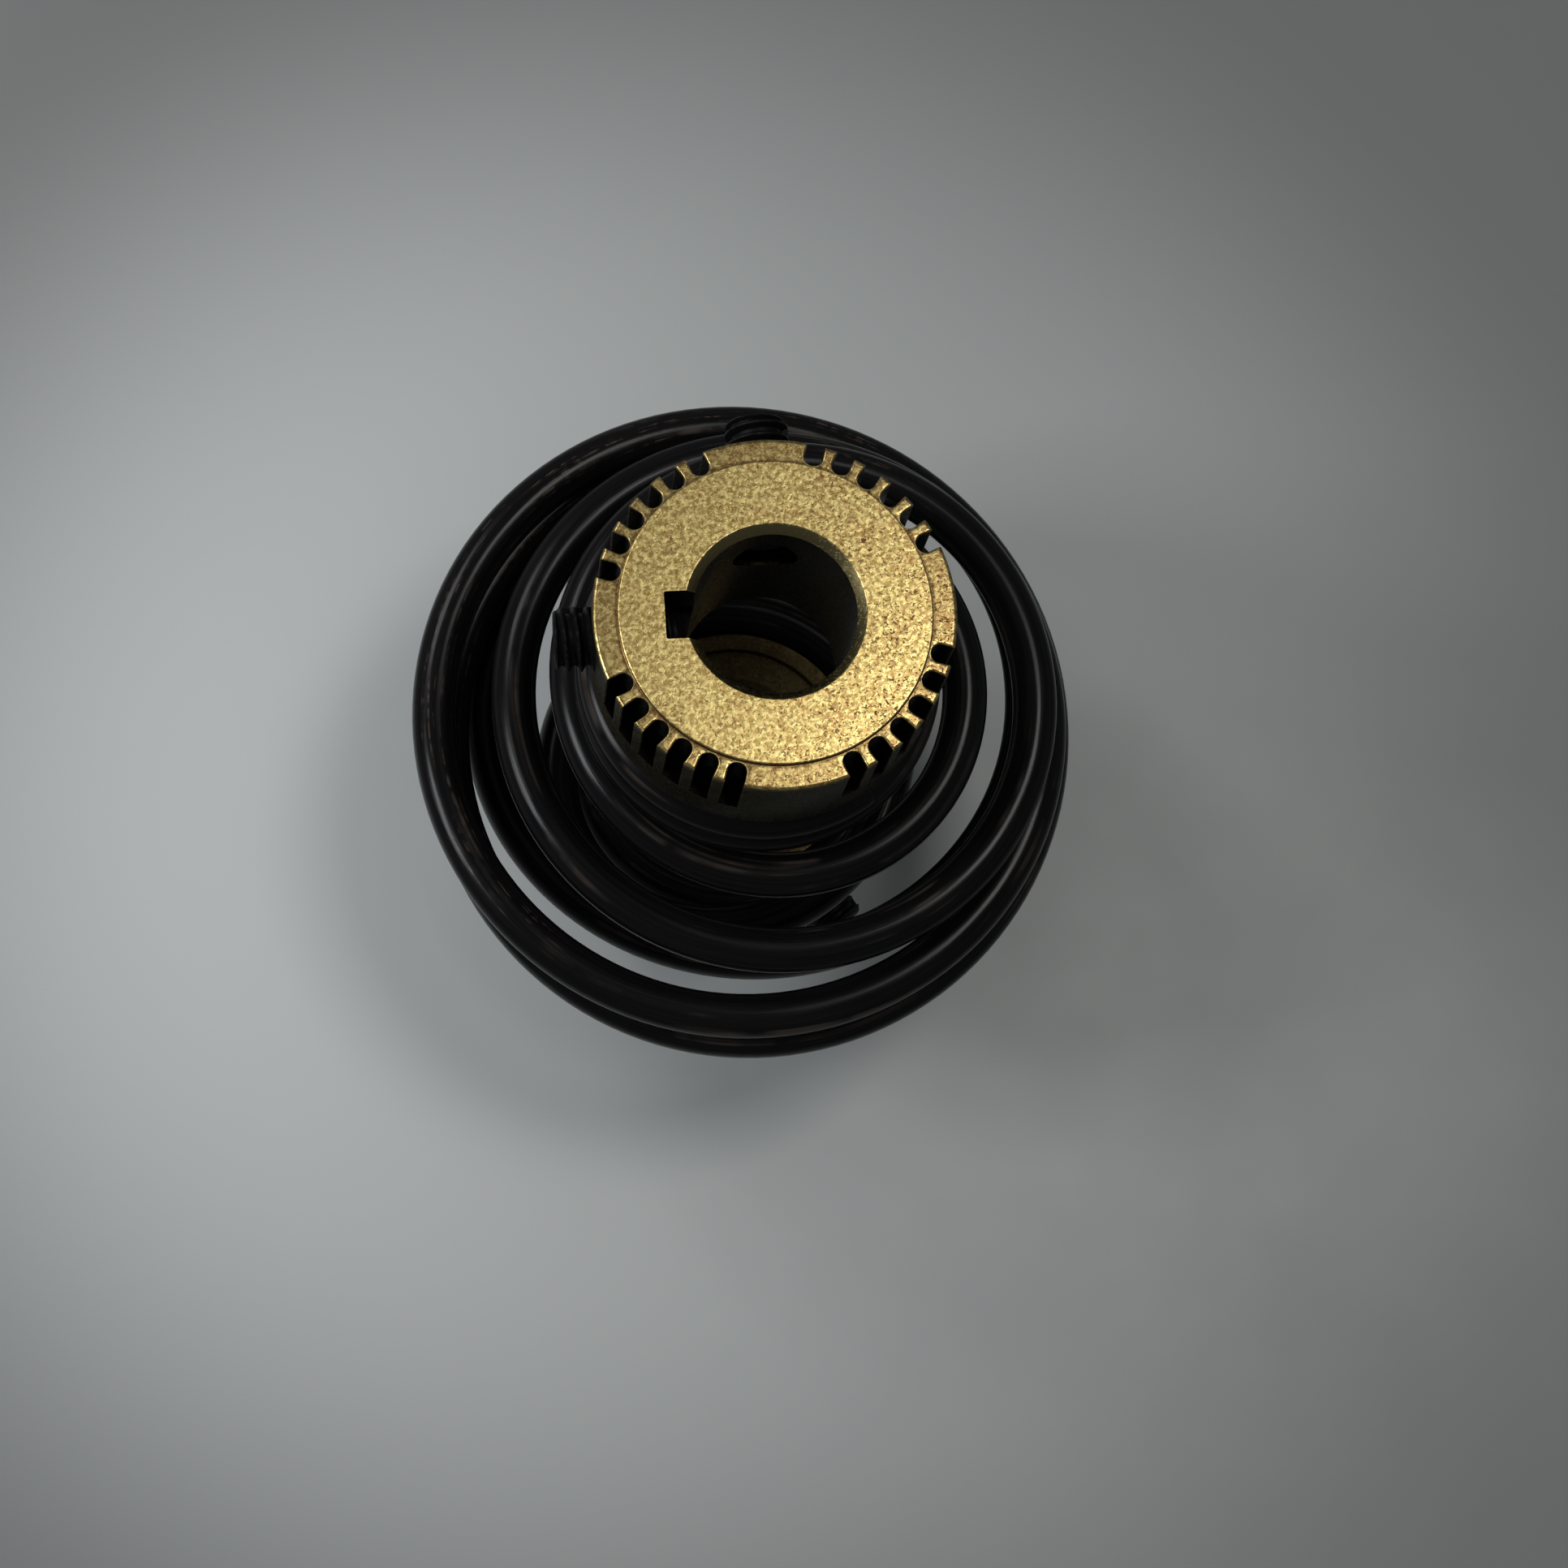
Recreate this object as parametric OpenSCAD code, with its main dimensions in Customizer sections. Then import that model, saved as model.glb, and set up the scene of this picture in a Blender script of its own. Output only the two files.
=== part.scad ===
// Circulator pump coupling: two toothed hubs joined by a barrel coil spring.
// The coupling stands on its rear hub with its axis along +Z. All sizes are in mm.
// Angles are clock angles: 0 is +Y, 90 is +X, clockwise seen from above.

/* [Hubs] */
// Outside diameter over the rim teeth
rim_d = 35.3; // [34.6:0.1:38]
// Diameter of the raised boss on the end face
boss_d = 30.4; // [28:0.1:30.6]
// Height of the boss above the toothed rim
boss_rise = 0.5; // [0.2:0.05:1.2]
// Full length of one hub
hub_len = 22.2; // [20.5:0.1:23.5]
// Length of the rim from the end face to the spring seat
rim_len = 14.0; // [13.6:0.1:16]
// Diameter of the seat that carries the spring
seat_d = 28.0; // [26.5:0.1:29.5]
// Bevel on the outer edges of the rim
rim_bevel = 0.4; // [0.1:0.05:0.8]
// Width of the shallow recess in the inner end
recess_d = 23.9; // [19:0.1:25]
// Depth of the shallow recess in the inner end
recess_depth = 1.0; // [0.4:0.1:2]

/* [Bore and keyway] */
// Shaft bore diameter, five eighths of an inch
bore_d = 15.875; // [12:0.005:16.6]
// Bevel at the mouth of the bore
bore_bevel = 0.9; // [0.3:0.1:1.6]
// Keyway width
key_w = 4.76; // [3:0.01:5.5]
// Keyway depth outside the bore wall
key_depth = 2.75; // [1.5:0.05:3]

/* [Rim teeth] */
// Steps round the rim, of which some are left uncut
rim_steps = 36; // [28:4:40]
// Notches cut in each quarter of the rim
quarter_notches = 6; // [4:1:6]
// Notch width
notch_w = 1.8; // [1:0.05:2]
// Notch depth from the top of the teeth
notch_depth = 2.3; // [1:0.05:2.35]
// Notch length along the axis, from the toothed face
notch_len = 8.3; // [5:0.1:10]
// Clock angle by which the wide teeth stand off the screws
teeth_turn = -3; // [-6:0.5:0]

/* [Set screws] */
// Thread diameter of the set screws
screw_d = 6.35; // [5:0.01:6.5]
// Set screw length
screw_len = 12.7; // [11:0.1:14]
// Distance of the screw axis behind the end face
screw_back = 7.0; // [6.6:0.1:10.2]
// Distance of the key screw's point from the shaft axis
key_screw_tip = 8.5; // [8.2:0.1:10]
// Distance of the plain screw's point from the shaft axis
plain_screw_tip = 9.0; // [8.2:0.1:10]
// Socket width across flats
socket_af = 3.175; // [2:0.005:3.6]
// Socket depth
socket_depth = 3.2; // [1.5:0.1:4.5]
// Diameter of the cup point's rim
cup_d = 3.9; // [2.5:0.1:4.2]

/* [Spring] */
// Wire diameter
wire_d = 4.76; // [3:0.01:5]
// Outside diameter of the widest coil
coil_d = 73.8; // [62:0.1:90]
// Turns of wire from one cut end to the other
spring_turns = 8.8; // [8.2:0.1:9.6]
// Share of the turns that lies above the widest coil
widest_share = 0.56; // [0.45:0.01:0.57]
// Turns wound close on each hub before the coils open out
close_turns = 1.1; // [1.1:0.05:1.6]
// Gap between neighbouring close turns
close_gap = 0.12; // [0.08:0.01:0.6]
// Gap between neighbouring coils where they are widest
coil_gap = 0.18; // [0.15:0.01:3]
// Bow of the cone's side, 0 straight and 1 fully rounded
cone_bow = 0.25; // [0:0.05:1]
// Sideways stand of the upper cone off the axis, in its coils near the hub
first_sway = 9.2; // [0:0.1:9.4]
// Clock angle toward which those first coils stand
first_sway_turn = 60; // [0:5:355]
// Sideways stand of the upper cone off the axis, in its coils near the widest one
second_sway = 4.5; // [0:0.1:5]
// Clock angle toward which those second coils stand
second_sway_turn = 155; // [0:5:355]
// Sideways stand of the lower cone off the axis
lower_sway = 2.7; // [0:0.1:3]
// Clock angle toward which the lower cone stands
lower_sway_turn = 345; // [0:5:355]
// Lean of the lower cone: the way its wide end stands off, its narrow end the other way
lower_lean = 15.5; // [0:0.5:16]
// Clock angle toward which the wide end of the lower cone leans
lower_lean_turn = 70; // [0:5:355]
// Sideways stand of the widest coil off the axis
widest_sway = 1.3; // [0:0.1:2]
// Clock angle toward which the widest coil stands
widest_sway_turn = 245; // [0:5:355]
// Clock angle of the upper cut end
end_turn = 146; // [120:1:170]

/* [Rear hub] */
// Clock angle of the rear hub's keyway
rear_key_turn = 235; // [0:5:355]

/* [Clearances] */
// Gap between the wire and the hub seat
seat_gap = 0.06; // [0.05:0.01:0.2]
// Gap round each set screw in its hole
screw_gap = 0.05; // [0.03:0.01:0.15]

/* [Hidden] */
$fn = 96;

// Spring law. A turn count u runs from the upper cut end to the lower one.
wire_r = wire_d / 2;
close_pitch = wire_d + close_gap;
open_pitch = wire_d + coil_gap;
widest_turn = spring_turns * widest_share;
open_turns = spring_turns - 2 * close_turns;
seat_coil_r = seat_d / 2 + seat_gap + wire_r;
wide_coil_r = coil_d / 2 - wire_r;
first_depth = rim_len + seat_gap + wire_r;
close_depth = first_depth + close_turns * close_pitch;
overall_len = 2 * close_depth + open_turns * open_pitch;
// Share of each cone's turns in which it starts and ends softly
ease = 0.11;
// Sides of the wire and sections in each turn
wire_sides = 14;
turn_steps = 44;
wire_steps = round(spring_turns * turn_steps);

function in_upper(u) = u < widest_turn;
function turns_in(u) = in_upper(u) ? u : spring_turns - u;
function cone_turns(u) = (in_upper(u) ? widest_turn : spring_turns - widest_turn) - close_turns;
function open_share(u) = max(0, (turns_in(u) - close_turns) / cone_turns(u));
function eased(t) =
    t < ease ? t * t / (2 * ease * (1 - ease)) :
    t < 1 - ease ? (t - ease / 2) / (1 - ease) :
    1 - (1 - t) * (1 - t) / (2 * ease * (1 - ease));
function bowed(t) = (1 - cone_bow) * t + cone_bow * (2 * t - t * t);
function coil_r(u) = seat_coil_r + (wide_coil_r - seat_coil_r) * bowed(eased(open_share(u)));
function end_depth(t) = first_depth + close_pitch * min(t, close_turns)
    + open_pitch * max(0, t - close_turns);
function coil_z(u) = in_upper(u) ? overall_len - end_depth(u) : end_depth(spring_turns - u);
function toward(clock) = [sin(clock), cos(clock)];
function upper_cone_sway(t) = first_sway * toward(first_sway_turn) * (1 - t)
    + second_sway * toward(second_sway_turn) * t;
function lower_cone_sway(t) = lower_sway * toward(lower_sway_turn)
    + lower_lean * toward(lower_lean_turn) * (2 * t - 1);
function cone_sway(u) = in_upper(u) ? upper_cone_sway(open_share(u)) : lower_cone_sway(open_share(u));
function coil_centre(u) = cone_sway(u) * pow(sin(180 * open_share(u)), 2)
    + widest_sway * toward(widest_sway_turn) * eased(open_share(u));
function turn_of(u) = end_turn + 360 * u;
function wire_at(u) = [
    each coil_centre(u) + coil_r(u) * toward(turn_of(u)),
    coil_z(u)];
function unit(v) = v / norm(v);
function along(u) = unit(wire_at(u + 0.004) - wire_at(u - 0.004));
function outward(u) = unit(cross(along(u), [0, 0, 1]));
function section_at(u) = [
    for (i = [0 : wire_sides - 1])
    wire_at(u)
    + outward(u) * wire_r * cos(360 * i / wire_sides)
    + cross(along(u), outward(u)) * wire_r * sin(360 * i / wire_sides)];

// One hub with its end face at z = 0 and its keyway at clock angle 270.
module hub_profile() {
    polygon([
        [bore_d / 2, -hub_len + recess_depth],
        [recess_d / 2, -hub_len + recess_depth],
        [recess_d / 2, -hub_len],
        [seat_d / 2 - 0.2, -hub_len],
        [seat_d / 2, -hub_len + 0.2],
        [seat_d / 2, -rim_len],
        [rim_d / 2 - rim_bevel, -rim_len],
        [rim_d / 2, -rim_len + rim_bevel],
        [rim_d / 2, -boss_rise - rim_bevel],
        [rim_d / 2 - rim_bevel, -boss_rise],
        [boss_d / 2, -boss_rise],
        [boss_d / 2, -0.15],
        [boss_d / 2 - 0.15, 0],
        [bore_d / 2 + bore_bevel, 0],
        [bore_d / 2, -bore_bevel]]);
}

module notch() {
    root_r = rim_d / 2 - notch_depth;
    translate([0, root_r + notch_w / 2, -boss_rise - notch_len])
    cylinder(h = notch_len + boss_rise + 1, d = notch_w, $fn = 32);
    translate([-notch_w / 2, root_r + notch_w / 2, -boss_rise - notch_len])
    cube([notch_w, notch_depth + 1, notch_len + boss_rise + 1]);
}

module rim_notches() {
    step = 360 / rim_steps;
    quarter_steps = rim_steps / 4;
    for (quarter = [0 : 3])
    for (i = [0 : quarter_notches - 1])
    rotate([0, 0, -teeth_turn - 90 * quarter
        - step * (i + 0.5 + (quarter_steps - quarter_notches) / 2)])
    notch();
}

module screw_hole(clock) {
    rotate([0, 0, -clock])
    translate([0, 0, -screw_back])
    rotate([-90, 0, 0])
    cylinder(h = rim_d, d = screw_d + 2 * screw_gap, $fn = 64);
}

module hub() {
    difference() {
        rotate_extrude() hub_profile();
        rim_notches();
        translate([-bore_d / 2 - key_depth, -key_w / 2, -hub_len - 1])
        cube([bore_d / 2 + key_depth, key_w, hub_len + 2]);
        screw_hole(0);
        screw_hole(270);
    }
}

// One socket set screw with its point at the origin and its axis along +Z.
module set_screw() {
    r = screw_d / 2;
    difference() {
        rotate_extrude($fn = 64)
        polygon([
            [0, 0.9],
            [cup_d / 2 - 0.3, 0],
            [cup_d / 2, 0],
            [r, (screw_d - cup_d) / 2],
            [r, screw_len - 0.45],
            [r - 0.45, screw_len],
            [0, screw_len]]);
        translate([0, 0, screw_len - socket_depth])
        cylinder(h = socket_depth + 1, d = socket_af / cos(30), $fn = 6);
    }
}

module placed_screw(clock, tip_r) {
    rotate([0, 0, -clock])
    translate([0, tip_r, -screw_back])
    rotate([-90, 0, 0])
    set_screw();
}

// Places a hub or screw drawn for the upper end at either end of the coupling.
module at_front() {
    translate([0, 0, overall_len])
    children();
}

module at_rear() {
    rotate([0, 0, 270 - rear_key_turn])
    rotate([180, 0, 0])
    children();
}

module front_hub() {
    color([0.72, 0.62, 0.42])
    at_front() hub();
}

module rear_hub() {
    color([0.72, 0.62, 0.42])
    at_rear() hub();
}

module front_key_screw() {
    color([0.1, 0.1, 0.1])
    at_front() placed_screw(270, key_screw_tip);
}

module front_plain_screw() {
    color([0.1, 0.1, 0.1])
    at_front() placed_screw(0, plain_screw_tip);
}

module rear_key_screw() {
    color([0.1, 0.1, 0.1])
    at_rear() placed_screw(270, key_screw_tip);
}

module rear_plain_screw() {
    color([0.1, 0.1, 0.1])
    at_rear() placed_screw(0, plain_screw_tip);
}

// The wire is swept along the spring law, section by section.
module spring() {
    sections = [for (k = [0 : wire_steps]) section_at(spring_turns * k / wire_steps)];
    points = [for (s = sections) each s];
    last = wire_steps * wire_sides;
    sides = [
        for (k = [0 : wire_steps - 1])
        for (i = [0 : wire_sides - 1])
        let (a = k * wire_sides + i)
        let (b = k * wire_sides + (i + 1) % wire_sides)
        each [
            [a, b, b + wire_sides],
            [a, b + wire_sides, a + wire_sides]]];
    first_end = [for (i = [0 : wire_sides - 1]) wire_sides - 1 - i];
    last_end = [for (i = [0 : wire_sides - 1]) last + i];
    color([0.13, 0.13, 0.14])
    polyhedron(points = points, faces = concat([first_end], sides, [last_end]), convexity = 12);
}

front_hub();
rear_hub();
spring();
front_key_screw();
front_plain_screw();
rear_key_screw();
rear_plain_screw();
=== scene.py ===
"""Looks of a spring-type shaft coupling: sintered brass hubs, a black wire spring and set screws.

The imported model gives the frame, in metres: +Z along the shaft axis, the rear hub on the floor.
Clock angles are 0 at +Y and 90 at +X, clockwise seen from above.
"""

import logging
import math
from dataclasses import dataclass, field, fields
from enum import Enum
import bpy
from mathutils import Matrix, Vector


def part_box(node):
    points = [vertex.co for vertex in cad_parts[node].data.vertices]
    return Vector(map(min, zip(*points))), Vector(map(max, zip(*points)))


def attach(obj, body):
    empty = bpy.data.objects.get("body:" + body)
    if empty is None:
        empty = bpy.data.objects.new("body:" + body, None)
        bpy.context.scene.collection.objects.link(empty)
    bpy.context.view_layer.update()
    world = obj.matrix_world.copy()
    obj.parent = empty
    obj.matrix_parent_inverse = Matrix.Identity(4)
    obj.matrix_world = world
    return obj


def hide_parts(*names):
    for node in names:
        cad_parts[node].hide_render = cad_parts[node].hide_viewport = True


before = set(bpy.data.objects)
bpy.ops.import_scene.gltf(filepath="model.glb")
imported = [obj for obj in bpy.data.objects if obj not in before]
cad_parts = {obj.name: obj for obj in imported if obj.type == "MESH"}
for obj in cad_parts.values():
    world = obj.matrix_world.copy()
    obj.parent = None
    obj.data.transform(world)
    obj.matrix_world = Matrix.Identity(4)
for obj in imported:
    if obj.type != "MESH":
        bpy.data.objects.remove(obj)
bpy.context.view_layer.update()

from types import SimpleNamespace

import bmesh
import bpy
from mathutils import Matrix, Vector

LOG = logging.getLogger("coupling")
BODY = "root"
MM = 0.001
SAME_POINT = 1e-8  # points nearer than this are one
CUT_PAST = 2 * MM  # how far a cutting solid stands past what it cuts

Colour = tuple[float, float, float]
Span = tuple[float, float]


class HubEnd(Enum):
    """The two ends of the coupling."""

    FRONT = "front"
    REAR = "rear"


class ScrewSeat(Enum):
    """What a set screw bears on, by the screw's name."""

    KEY = "key"
    PLAIN = "plain"


class Field:
    """A number that varies over a mesh or a surface, with the arithmetic of a plain number."""

    def __init__(self, graph: "Graph", socket: bpy.types.NodeSocket) -> None:
        """Keep the tree and the socket that the number comes from."""
        self.graph = graph
        self.socket = socket

    def __add__(self, other: "Number") -> "Field":
        """Return self + other."""
        return self.graph.math("ADD", self, other)

    def __radd__(self, other: float) -> "Field":
        """Return other + self."""
        return self.graph.math("ADD", other, self)

    def __sub__(self, other: "Number") -> "Field":
        """Return self - other."""
        return self.graph.math("SUBTRACT", self, other)

    def __rsub__(self, other: float) -> "Field":
        """Return other - self."""
        return self.graph.math("SUBTRACT", other, self)

    def __mul__(self, other: "Number") -> "Field":
        """Return self * other."""
        return self.graph.math("MULTIPLY", self, other)

    def __rmul__(self, other: float) -> "Field":
        """Return other * self."""
        return self.graph.math("MULTIPLY", other, self)

    def __truediv__(self, other: "Number") -> "Field":
        """Return self / other."""
        return self.graph.math("DIVIDE", self, other)

    def __rtruediv__(self, other: float) -> "Field":
        """Return other / self."""
        return self.graph.math("DIVIDE", other, self)


Number = Field | float


def socket_label(name: str) -> str:
    """Return a size's name as the label of a group's input."""
    return name.replace("_", " ").capitalize()


class Graph:
    """A shader or geometry node tree, with short calls that add nodes and link them."""

    def __init__(self, tree: bpy.types.NodeTree) -> None:
        """Take a tree and empty it."""
        self.tree = tree
        tree.nodes.clear()
        self.entry: bpy.types.Node | None = None
        self.exit: bpy.types.Node | None = None

    @classmethod
    def group(cls, kind: str, name: str, takes: dict[str, object], gives: dict[str, str]) -> "Graph":
        """Start a node group with named inputs and outputs.

        Args:
            kind: "ShaderNodeTree" or "GeometryNodeTree".
            name: the group's name.
            takes: for each input its default value, or its socket type where it has none.
            gives: for each output its socket type.

        Returns:
            The graph, with its entry and exit nodes.
        """
        graph = cls(bpy.data.node_groups.new(name, kind))
        sockets = graph.tree.interface
        for label, default in takes.items():
            kinds = {float: "NodeSocketFloat", int: "NodeSocketInt"}
            socket_type = kinds.get(type(default), default)
            made = sockets.new_socket(label, in_out="INPUT", socket_type=socket_type)
            if type(default) in kinds:
                made.default_value = default
        for label, socket_type in gives.items():
            sockets.new_socket(label, in_out="OUTPUT", socket_type=socket_type)
        graph.entry = graph.node("NodeGroupInput")
        graph.exit = graph.node("NodeGroupOutput")
        return graph

    def node(self, kind: str, inputs: dict | None = None, **settings: object) -> bpy.types.Node:
        """Add a node.

        Args:
            kind: the node's type name.
            inputs: values or links for its inputs, by name or number.
            **settings: the node's own properties.

        Returns:
            The new node.
        """
        made = self.tree.nodes.new(kind)
        for name, value in settings.items():
            setattr(made, name, value)
        for key, value in (inputs or {}).items():
            self.feed(made.inputs[key], value)
        return made

    def feed(self, socket: bpy.types.NodeSocket, value: object) -> None:
        """Link a socket to a field or another socket, or set its plain value."""
        source = value.socket if isinstance(value, Field) else value
        if isinstance(source, bpy.types.NodeSocket):
            self.tree.links.new(source, socket)
        else:
            socket.default_value = source

    def math(self, operation: str, *values: Number) -> Field:
        """Return a Math node's result as a field."""
        made = self.node("ShaderNodeMath", dict(enumerate(values)), operation=operation)
        return Field(self, made.outputs[0])

    def given(self, label: str) -> Field:
        """Return a named input of the group as a field."""
        return Field(self, self.entry.outputs[label])

    def sizes(self, owner: type) -> SimpleNamespace:
        """Return the group's inputs for a class's sizes, by the names of its fields."""
        names = [f.name for f in fields(owner) if f.type in (float, int)]
        return SimpleNamespace(**{name: self.given(socket_label(name)) for name in names})

    def vector(self, x: Number, y: Number, z: Number) -> bpy.types.NodeSocket:
        """Return a vector made of three numbers."""
        return self.node("ShaderNodeCombineXYZ", {0: x, 1: y, 2: z}).outputs[0]

    def parts(self, vector: bpy.types.NodeSocket) -> list[Field]:
        """Return a vector's three numbers."""
        return [Field(self, s) for s in self.node("ShaderNodeSeparateXYZ", {0: vector}).outputs]

    def noise(self, place: bpy.types.NodeSocket, size: Number, detail: float = 2.0,
              swirl: float = 0.0) -> Field:
        """Return soft noise between 0 and 1.

        Args:
            place: where to read it, in metres.
            size: the width of its features, in metres.
            detail: how many finer layers it has.
            swirl: how much its features are bent out of round.

        Returns:
            The noise as a field.
        """
        inputs = {"Vector": place, "Scale": 1.0 / size, "Detail": detail, "Distortion": swirl}
        return Field(self, self.node("ShaderNodeTexNoise", inputs).outputs[0])

    def fade(self, value: Number, span: Span) -> Field:
        """Return a number that runs smoothly from 0 to 1 over a span of the value."""
        inputs = {0: value, 1: span[0], 2: span[1]}
        made = self.node("ShaderNodeMapRange", inputs, interpolation_type="SMOOTHSTEP")
        return Field(self, made.outputs[0])

    def mix(self, share: Number, first: Number, second: Number) -> Field:
        """Return the first number where the share is 0 and the second where it is 1."""
        made = self.node("ShaderNodeMix", {0: share, 2: first, 3: second}, data_type="FLOAT")
        return Field(self, made.outputs[0])

    def blend(self, share: Number, first: object, second: object) -> bpy.types.NodeSocket:
        """Mix two colours.

        Args:
            share: 0 for the first and 1 for the second.
            first: a colour or a colour socket.
            second: a colour or a colour socket.

        Returns:
            The mixed colour's socket.
        """
        first, second = ((*c, 1.0) if isinstance(c, tuple) else c for c in (first, second))
        made = self.node("ShaderNodeMix", {0: share, 6: first, 7: second}, data_type="RGBA")
        return made.outputs[2]

    def length(self, x: Number, y: Number) -> Field:
        """Return the length of a flat vector."""
        return self.math("SQRT", x * x + y * y)

    def object_place(self) -> bpy.types.NodeSocket:
        """Return the shaded point in the frame."""
        return self.node("ShaderNodeTexCoord").outputs["Object"]

    def facing_up(self) -> Field:
        """Return how far the shaded surface faces up, from -1 to 1."""
        return self.parts(self.node("ShaderNodeNewGeometry").outputs["Normal"])[2]

    def attribute(self, name: str, output: str) -> bpy.types.NodeSocket:
        """Return one output of what is stored on the mesh by a name."""
        return self.node("ShaderNodeAttribute", attribute_name=name).outputs[output]

    def stored(self, mesh: bpy.types.NodeSocket, name: str, value: object) -> bpy.types.NodeSocket:
        """Return the mesh with a vector stored on it by a name."""
        inputs = {"Geometry": mesh, "Name": name, "Value": value}
        return self.node("GeometryNodeStoreNamedAttribute", inputs, data_type="FLOAT_VECTOR").outputs[0]

    def dressed(self, mesh: bpy.types.NodeSocket) -> bpy.types.NodeSocket:
        """Return the mesh in the metal that the tree is given."""
        inputs = {0: mesh, "Material": self.entry.outputs["Metal"]}
        return self.node("GeometryNodeSetMaterial", inputs).outputs[0]


def tree_for(owner: type, name: str, extra: dict[str, str]) -> Graph:
    """Start a geometry tree whose named inputs are a class's sizes.

    Args:
        owner: the dataclass that holds the sizes.
        name: the tree's name.
        extra: further inputs and their socket types.

    Returns:
        The graph, with Geometry as its first input and its output.
    """
    takes: dict[str, object] = {"Geometry": "NodeSocketGeometry"}
    takes |= {socket_label(f.name): f.default for f in fields(owner) if f.type in (float, int)}
    return Graph.group("GeometryNodeTree", name, takes | extra, {"Geometry": "NodeSocketGeometry"})


def sizes_of(piece: object) -> dict[str, object]:
    """Return a piece's sizes by the labels of its tree's inputs."""
    return {socket_label(f.name): getattr(piece, f.name) for f in fields(piece)}


def object_from(name: str, mesh: bpy.types.Mesh) -> bpy.types.Object:
    """Link a mesh to the scene as an object at the origin."""
    made = bpy.data.objects.new(name, mesh)
    bpy.context.scene.collection.objects.link(made)
    return made


def add_tree(host: bpy.types.Object, tree: bpy.types.NodeTree, values: dict[str, object]) -> None:
    """Put a geometry tree on an object and set its inputs.

    Args:
        host: the object that gets the modifier.
        tree: the geometry tree.
        values: the inputs by label.
    """
    modifier = host.modifiers.new(tree.name, "NODES")
    modifier.node_group = tree
    for item in tree.interface.items_tree:
        if item.in_out == "INPUT" and item.name in values:
            modifier[item.identifier] = values[item.name]


def made_plain(name: str, source: bpy.types.Object) -> bpy.types.Object:
    """Turn an object and its modifiers into a plain mesh object, and remove the source.

    Args:
        name: the new object's name.
        source: the object with the modifiers.

    Returns:
        The plain object.
    """
    depsgraph = bpy.context.evaluated_depsgraph_get()
    mesh = bpy.data.meshes.new_from_object(
        source.evaluated_get(depsgraph), preserve_all_data_layers=True, depsgraph=depsgraph)
    bpy.data.objects.remove(source)
    mesh.name = name
    return object_from(name, mesh)


def skin(name: str, rings: list[list[Vector]], closed: bool) -> bpy.types.Mesh:
    """Make a closed mesh from rings of points, with its faces outwards.

    Args:
        name: the mesh's name.
        rings: rings with the same number of points. A ring may be one point repeated.
        closed: True if the last ring joins the first, as on a body with a bore.

    Returns:
        The mesh.
    """
    work = bmesh.new()
    points = [[work.verts.new(p) for p in ring] for ring in rings]
    count = len(rings[0])
    pairs = list(zip(points, points[1:] + points[:1])) if closed else list(zip(points, points[1:]))
    for low, high in pairs:
        for k in range(count):
            after = (k + 1) % count
            work.faces.new((low[k], low[after], high[after], high[k]))
    if not closed:
        for end in (points[0], points[-1]):
            if (end[0].co - end[count // 2].co).length > SAME_POINT:
                work.faces.new(end)
    bmesh.ops.remove_doubles(work, verts=work.verts, dist=SAME_POINT)
    bmesh.ops.recalc_face_normals(work, faces=work.faces)
    if work.calc_volume(signed=True) < 0:
        bmesh.ops.reverse_faces(work, faces=work.faces)
    mesh = bpy.data.meshes.new(name)
    work.to_mesh(mesh)
    work.free()
    return mesh


def rounded(corners: list[tuple[float, float, float]], steps: int) -> list[Vector]:
    """Round the corners of a closed outline.

    Args:
        corners: for each corner its two coordinates and its radius.
        steps: the pieces of each arc.

    Returns:
        The points of the rounded outline.
    """
    points = [Vector(c[:2]) for c in corners]
    outline: list[Vector] = []
    for i, (corner, (_, _, radius)) in enumerate(zip(points, corners)):
        back = (points[i - 1] - corner).normalized()
        ahead = (points[(i + 1) % len(points)] - corner).normalized()
        half = back.angle(ahead) / 2
        centre = corner + (back + ahead).normalized() * (radius / math.sin(half))
        start = corner + back * (radius / math.tan(half)) - centre
        end = corner + ahead * (radius / math.tan(half)) - centre
        outline += [centre + radius * start.slerp(end, k / steps).normalized() for k in range(steps + 1)]
    return outline


def upright(outline: list[Vector], z: float) -> list[Vector]:
    """Return a flat outline as a ring of points at one height."""
    return [Vector((p.x, p.y, z)) for p in outline]


def circle(radius: float, z: float, count: int) -> list[Vector]:
    """Return a circle of points round the axis at one height."""
    turns = [math.tau * k / count for k in range(count)]
    return [Vector((radius * math.cos(a), radius * math.sin(a), z)) for a in turns]


def fine_surface_group() -> bpy.types.NodeTree:
    """Build the grain, dark flecks, veins and broad patches that the metals share."""
    takes = {"Place": "NodeSocketVector", "Grain size": 0.5 * MM, "Fleck size": 0.36 * MM,
             "Vein size": 0.9 * MM, "Patch size": 4 * MM}
    gives = dict.fromkeys(("Grain", "Flecks", "Veins", "Patches"), "NodeSocketFloat")
    fleck_span, vein_span = (0.57, 0.66), (0.0, 0.08)
    graph = Graph.group("ShaderNodeTree", "fine_surface", takes, gives)
    place = graph.entry.outputs["Place"]
    grain = graph.noise(place, graph.given("Grain size"), detail=3.0, swirl=0.4)
    flecks = graph.noise(place, graph.given("Fleck size"), detail=1.0, swirl=1.2)
    veins = graph.noise(place, graph.given("Vein size"), swirl=0.8)
    crossing = graph.math("ABSOLUTE", veins - 0.5)
    graph.feed(graph.exit.inputs["Grain"], grain)
    graph.feed(graph.exit.inputs["Flecks"], graph.fade(flecks, fleck_span))
    graph.feed(graph.exit.inputs["Veins"], 1.0 - graph.fade(crossing, vein_span))
    graph.feed(graph.exit.inputs["Patches"], graph.noise(place, graph.given("Patch size")))
    return graph.tree


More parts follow.
